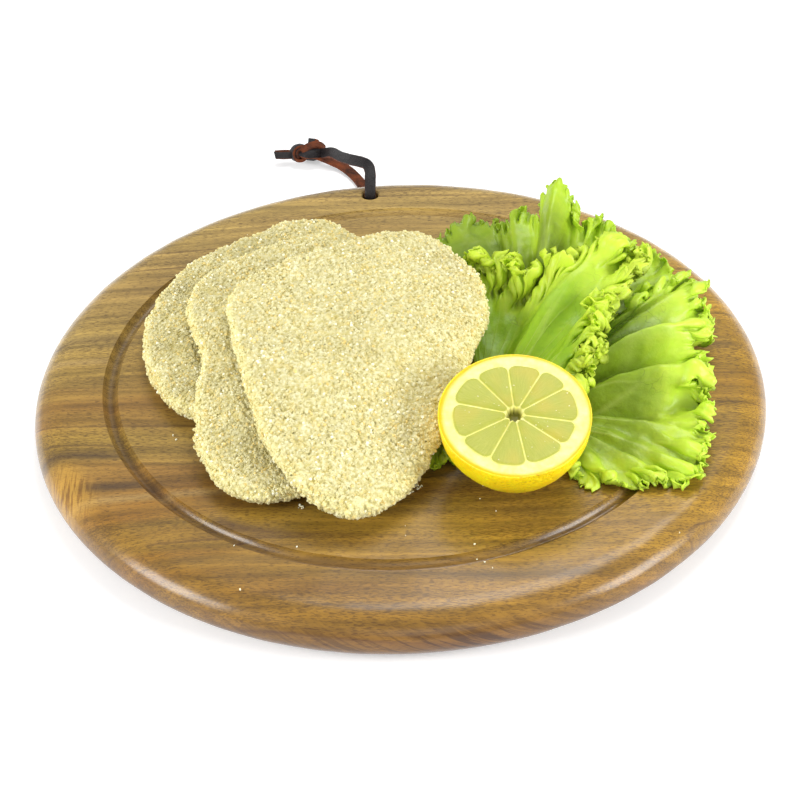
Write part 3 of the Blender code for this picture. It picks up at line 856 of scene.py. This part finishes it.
foot = ((31, -8, 23), (58, -34, 27))
spokes = [
    (30, 30, 40, 0), (34, 42, 43, -1), (44, 38, 45, -3), (54, 32, 47, -5), (62, 29, 48, -5),
    (70, 24, 51, 0), (80, 27, 54, 9), (91, 31, 57, 9), (99, 26, 57, 5), (98, 15, 54, 3), (90, 7, 50, 3),
    (84, 0, 48, 3), (81, -9, 48, 5), (80, -18, 46, 4), (77, -27, 43, 3), (73, -37, 39, 2),
    (67, -42, 35, 1),
]
waves = ((15, 5, 24, 0.45), (7, 3.2, 17, 0.55), (3.4, 1.1, 11, 0.45))
sheet = leaf_sheet(foot, spokes, waves, 9, 1160, 41, teeth=2.8)
leaf("lettuce_middle", "lettuce_leaf_middle", greens["frill"], sheet)

foot = ((40, 16, 31), (78, 8, 30))
spokes = [
    (20, 72, 32, 1), (24, 83, 33, 2), (34, 87, 34, 2), (44, 83, 34, 1), (47, 72, 38, -1),
    (49, 64, 46, 0), (53, 66, 51, 1), (60, 66, 51, 0), (62, 57, 50, -3), (64, 63, 56, 0),
    (66, 69, 62, 5), (70, 66, 65, 8), (75, 63, 62, 5), (78, 58, 57, 0), (79, 50, 54, -3),
    (83, 48, 54, -3), (88, 58, 52, 0), (94, 51, 49, -2), (101, 46, 46, -3), (110, 42, 43, -2),
    (117, 30, 40, -3), (111, 25, 38, -3), (100, 30, 34, -2), (88, 30, 30, 0),
]
waves = ((15, 2.2, 16, 0.3), (7, 1.4, 8, 0.45), (3.2, 0.4, 4, 0.3))
sheet = leaf_sheet(foot, spokes, waves, 21, 900, 46, teeth=1.5)
# Painted shade, deepening towards the back leaf's left end.
sheet[2][:] = np.maximum(sheet[2], np.clip((0.056 - sheet[0][..., 0]) / 0.012, 0, 0.7))
leaf("lettuce_back", "lettuce_leaf_back", greens["back"], sheet)

foot = ((20, -44, 22), (8, -48, 22))
spokes = [(27, -50, 23, 1), (26, -57, 22.5, 1), (19, -64, 23, 0), (10, -67, 22.5, 1), (0, -63, 22, 0)]
waves = ((8, 1.6, 12, 0.35), (3.6, 1, 7, 0.45))
sheet = leaf_sheet(foot, spokes, waves, 33, 340, 30, teeth=1.6)
leaf("lettuce_tip", "lettuce_leaf_tip", greens["back"], sheet)

# ------------------------------------------------------------
# Lemon: half a fruit cut across, standing on its rounded end. Waxy rind, white pith, ten
# segments of juice sacs between thin membranes, and an open core.
LEMON_RADIUS = 0.0287
LEMON_DEPTH = 0.03
LEMON_CENTRE = (0.0425, -0.0715)
LEMON_TILT = radians(14)
PULP_RADIUS = 0.0234
CORE_RADIUS = 0.0027
RIND_THICKNESS = 0.0019
DROPS = 55

lowest = sqrt((LEMON_RADIUS * sin(LEMON_TILT)) ** 2 + (LEMON_DEPTH * cos(LEMON_TILT)) ** 2)
lemon_place = Matrix.Translation((*LEMON_CENTRE, BOARD_THICKNESS + 0.0003 + lowest))
lemon_place @= Matrix.Rotation(LEMON_TILT, 4, "X")

walls = [radians(a) for a in (30, 59, 93, 126, 164, 207, 242, 277, 318, 348)]


def segment_at(radius, angle):
    """How far inside the nearest juice segment a place on the cut is, and how far across it is."""
    later = [a for a in walls if a > angle] or [walls[0] + 2 * pi]
    end = later[0]
    start = max([a for a in walls if a <= angle] or [walls[-1] - 2 * pi])
    middle, half = (start + end) / 2, (end - start) / 2
    share = (angle - middle) / half
    outer = PULP_RADIUS + 0.0004 * sin(3 * middle) - 0.0026 * abs(share) ** 6
    inner = CORE_RADIUS + 0.0006 + 0.0012 * abs(share) ** 2
    wall = radius * sin(min(angle - start, end - angle, pi / 2)) - 0.00008
    return min(wall, outer - radius, radius - inner), share


def lemon_skin():
    """Waxy yellow rind with fine oil glands and a few brown scuffs."""
    soft = {"Subsurface_Weight": 0.6, "Subsurface_Radius": (0.004, 0.0025, 0.0006)}
    look = Finish("lemon_rind", Roughness=0.42, Coat_Weight=0.15, Coat_Roughness=0.22, **soft)
    broad = look.noise(60, detail=3)
    colour = look.ramp(broad, (0.35, srgb(252, 208, 6)), (0.65, srgb(255, 230, 12)))
    scuff = look.noise(420, detail=4, rough=0.7)
    where = look.noise(70, detail=1)
    where = look.ramp(where, (0.6, 0), (0.66, 1))
    mark = look.times(look.ramp(scuff, (0.6, 0), (0.66, 0.7)), where)
    bruise = look.ramp(look.away(0.0465, -0.0985, 0.0418), (0.002, 1), (0.005, 0))
    bruise = look.times(bruise, look.ramp(scuff, (0.5, 0), (0.58, 0.8)))
    colour = look.blend(look.math("MAXIMUM", mark, bruise), colour, srgb(150, 92, 20))
    look.wire(Base_Color=colour)
    glands = look.cells(620)
    look.bump((look.ramp(glands, (0.1, 0), (0.5, 1)), 0.00022), (broad, 0.0006))
    return look.material


def lemon_cut():
    """The wet cut: juice sacs that lie radially, pale membranes and pith, a thin yellow rim."""
    soft = {"Subsurface_Weight": 0.55, "Subsurface_Radius": (0.004, 0.0035, 0.0012)}
    gloss = {"Coat_Weight": 0.12, "Coat_Roughness": 0.1}
    look = Finish("lemon_cut", Roughness=0.45, IOR=1.36, **gloss, **soft)
    sacs = look.add("UVMap", {}, uv_map="sacs").outputs[0]
    ends = look.cells(look.stretch(40, 4, 1, place=sacs), "DISTANCE_TO_EDGE")
    fine = look.noise(look.stretch(70, 5, 1, place=sacs), detail=4)
    deep, juicy, bright = srgb(162, 166, 50), srgb(170, 173, 58), srgb(184, 185, 76)
    flesh = look.ramp(fine, (0.25, deep), (0.55, juicy), (0.85, bright))
    tint = look.noise(90, detail=1)
    flesh = look.blend(look.ramp(tint, (0.5, 0), (0.75, 0.5)), flesh, srgb(196, 176, 58))
    flesh = look.blend(look.ramp(ends, (0, 0.14), (0.06, 0)), flesh, srgb(206, 204, 96))
    pith = look.noise(260, detail=3)
    pith = look.ramp(pith, (0.3, srgb(232, 226, 118)), (0.7, srgb(246, 242, 158)))
    colour = look.blend(look.mark("pulp"), pith, flesh)
    colour = look.blend(look.mark("rim"), colour, srgb(248, 192, 10))
    # Painted shade: the open core darker olive, deepest down the hole.
    colour = look.blend(look.mark("core"), colour, srgb(128, 126, 26))
    look.wire(Base_Color=colour)
    wet = look.noise(1500, detail=2)
    look.bump((look.ramp(ends, (0, 0), (0.25, 1)), 0.00003), (fine, 0.00002), (wet, 0.00006))
    return look.material


skin, cut_face = lemon_skin(), lemon_cut()
profile = [(LEMON_RADIUS * cos(k * pi / 120), -LEMON_DEPTH * sin(k * pi / 120)) for k in range(61)]
profile.insert(0, (LEMON_RADIUS - 0.0004, -0.0002))
rind = lathe(profile, 200)
for vert in rind.verts:
    swell = 0.0005 * noise.noise(vert.co * 70) + 0.00012 * noise.noise(vert.co * 600)
    vert.co += vert.co.normalized() * swell * min(1, -vert.co.z / 0.002 + 0.1)
bmesh.ops.transform(rind, matrix=lemon_place, verts=rind.verts)
bmesh.ops.recalc_face_normals(rind, faces=rind.faces)
piece("lemon_rind", rind, [skin], "lemon_half")

outermost = LEMON_RADIUS - 0.0003
radii = [0.0, 0.0012, 0.002, 0.0026]
radii += [CORE_RADIUS + (outermost - CORE_RADIUS) * k / 62 for k in range(63)]
face = lathe([(radius, 0.0) for radius in radii], 420)
uv = face.loops.layers.uv.new("sacs")
pulp, rim, core = np.zeros((3, len(face.verts)))
for k, vert in enumerate(face.verts):
    radius, angle = vert.co.xy.length, np.arctan2(vert.co.y, vert.co.x) % (2 * pi)
    inside, share = segment_at(radius, angle)
    filled = min(1.0, max(0.0, inside / 0.00042))
    filled = filled * filled * (3 - 2 * filled)
    pulp[k] = filled
    uneven = noise.noise(Vector((cos(angle) * 2, sin(angle) * 2, 9)))
    skin_depth = RIND_THICKNESS + 0.0008 * max(0, -cos(angle)) + 0.0004 * uneven
    rim[k] = min(1.0, max(0.0, (radius - LEMON_RADIUS + skin_depth) / 0.0013))
    grainy = noise.noise(Vector((cos(angle) * 30, sin(angle) * 30, radius * 320)))
    sac, _ = noise.voronoi(Vector((angle * 46 / 2 / pi * 3, radius * 260, 0)))
    crown = 0.0002 + 0.00028 * (1 - min(1, abs(share)) ** 2)
    height = filled * (crown + 0.00005 * (sac[1] - sac[0]) + 0.00003 * grainy)
    height -= 0.00016 * filled * (filled < 0.7)
    height += 0.00014 * noise.noise(Vector((vert.co.x, vert.co.y, 0)) * 500) * (1 - filled)
    ragged = CORE_RADIUS * (0.95 + 0.45 * noise.noise(Vector((cos(angle) * 2.4, sin(angle) * 2.4, 4))))
    if radius < CORE_RADIUS + 0.0012:
        depth = min(1.0, max(0.0, (ragged + 0.0006 - radius) / 0.0008))
        height -= 0.003 * depth
        core[k] = depth
    if radius > LEMON_RADIUS - 0.0014:
        height = -0.0004 * ((radius - LEMON_RADIUS + 0.0014) / 0.0014) ** 2
    vert.co.z = height
for loop_face in face.faces:
    for loop in loop_face.loops:
        angle = np.arctan2(loop.vert.co.y, loop.vert.co.x) % (2 * pi)
        middle = loop_face.calc_center_median()
        if abs(angle - np.arctan2(middle.y, middle.x) % (2 * pi)) > pi:
            angle = 2 * pi if angle < pi else 0.0
        loop[uv].uv = (angle / 2 / pi * 3, loop.vert.co.xy.length * 40)
bmesh.ops.transform(face, matrix=lemon_place, verts=face.verts)
face_piece = piece("lemon_cut_face", face, [cut_face])
mark_points(face_piece, pulp=pulp, rim=rim, core=core)

gloss = {"Roughness": 0.04, "Coat_Weight": 1.0, "Coat_Roughness": 0.02}
juice = Finish("lemon_juice", Base_Color=srgb(246, 244, 190), **gloss)
drops = bmesh.new()
rng = np.random.default_rng(12)
while len(drops.verts) < DROPS * 12:
    radius, angle = PULP_RADIUS * sqrt(rng.uniform(0.05, 1)), rng.uniform(0, 2 * pi)
    if segment_at(radius, angle)[0] < 0.0004:
        continue
    size = 0.00012 + 0.00022 * rng.uniform() ** 3
    place = Matrix.Translation((radius * cos(angle), radius * sin(angle), 0.00042))
    place = lemon_place @ place @ Matrix.Diagonal((1.2, 1, 0.5, 1))
    bmesh.ops.create_icosphere(drops, subdivisions=1, radius=size, matrix=place)
piece("lemon_drops", drops, [juice.material])

# ------------------------------------------------------------
# Loose crumbs: dry breading that fell off the schnitzels. A few clumps lie at the edge of the
# top one, and single crumbs are spread over the board. Each heap has its place, reach and count.
CRUMB_HEAPS = [
    ((0.0052, -0.0752), 0.0022, 26), ((0.0016, -0.0785), 0.002, 9), ((-0.0388, -0.0845), 0.0014, 7),
    ((-0.088, -0.042), 0.01, 4), ((-0.06, 0.09), 0.03, 8), ((0.026, -0.116), 0.009, 4),
    ((-0.056, -0.11), 0.02, 3), ((0.032, -0.081), 0.01, 3), ((0.001, -0.097), 0.008, 2),
    ((0.097, -0.104), 0.004, 1),
]
SMALLEST_CRUMB, LARGEST_CRUMB = 0.00018, 0.0005

rng = np.random.default_rng(4)
spill = bmesh.new()
for (x, y), reach, count in CRUMB_HEAPS:
    for _ in range(count):
        size = rng.uniform(SMALLEST_CRUMB, LARGEST_CRUMB)
        place = Vector((x, y, BOARD_THICKNESS + size * 0.7))
        place.x += rng.normal() * reach / 2
        place.y += rng.normal() * reach / 2
        squash = rng.uniform(0.45, 1.35, 3)
        matrix = Matrix.Translation(place)
        made = bmesh.ops.create_icosphere(spill, subdivisions=1, radius=size, matrix=matrix)
        for vert in made["verts"]:
            rough = 1 + 0.9 * noise.noise(vert.co * 2600)
            vert.co = place + Vector((vert.co - place) * Vector(squash)) * rough
piece("loose_crumbs", spill, [white_crumb])

# ------------------------------------------------------------
# Studio: a white table lit from below as well as above, a broad lamp above and behind, and a
# soft box over each side.
table = bpy.data.meshes.new("table")
sheet = bmesh.new()
bmesh.ops.create_grid(sheet, x_segments=1, y_segments=1, size=3)
sheet.to_mesh(table)
sheet.free()
glow = {"Emission_Color": (1, 1, 1, 1), "Emission_Strength": 0.3}
white = Finish("table_white", Roughness=0.9, Base_Color=(0.86, 0.86, 0.86, 1), **glow)
table.materials.append(white.material)
put("table", table)

world = bpy.data.worlds.new("room")
world.use_nodes = True
world.node_tree.nodes["Background"].inputs["Color"].default_value = (0.98, 0.99, 1.0, 1)
world.node_tree.nodes["Background"].inputs["Strength"].default_value = 0.4
scene.world = world
for name, place, size, power in (
    ("lamp_above", (0.2, 0.45, 1.05), 0.6, 7.2),
    ("soft_box_left", (-0.9, -0.4, 0.46), 0.42, 8.2),
    ("soft_box_right", (0.88, -0.44, 0.44), 0.42, 7.8),
    ("soft_box_front", (0.1, -1.00, 0.6), 0.5, 1.4),
):
    light = bpy.data.lights.new(name, "AREA")
    light.size = size
    light.energy = power
    lamp = put(name, light)
    lamp.location = place
    lamp.rotation_euler = (Vector((0, 0, 0.02)) - Vector(place)).to_track_quat("-Z", "Y").to_euler()
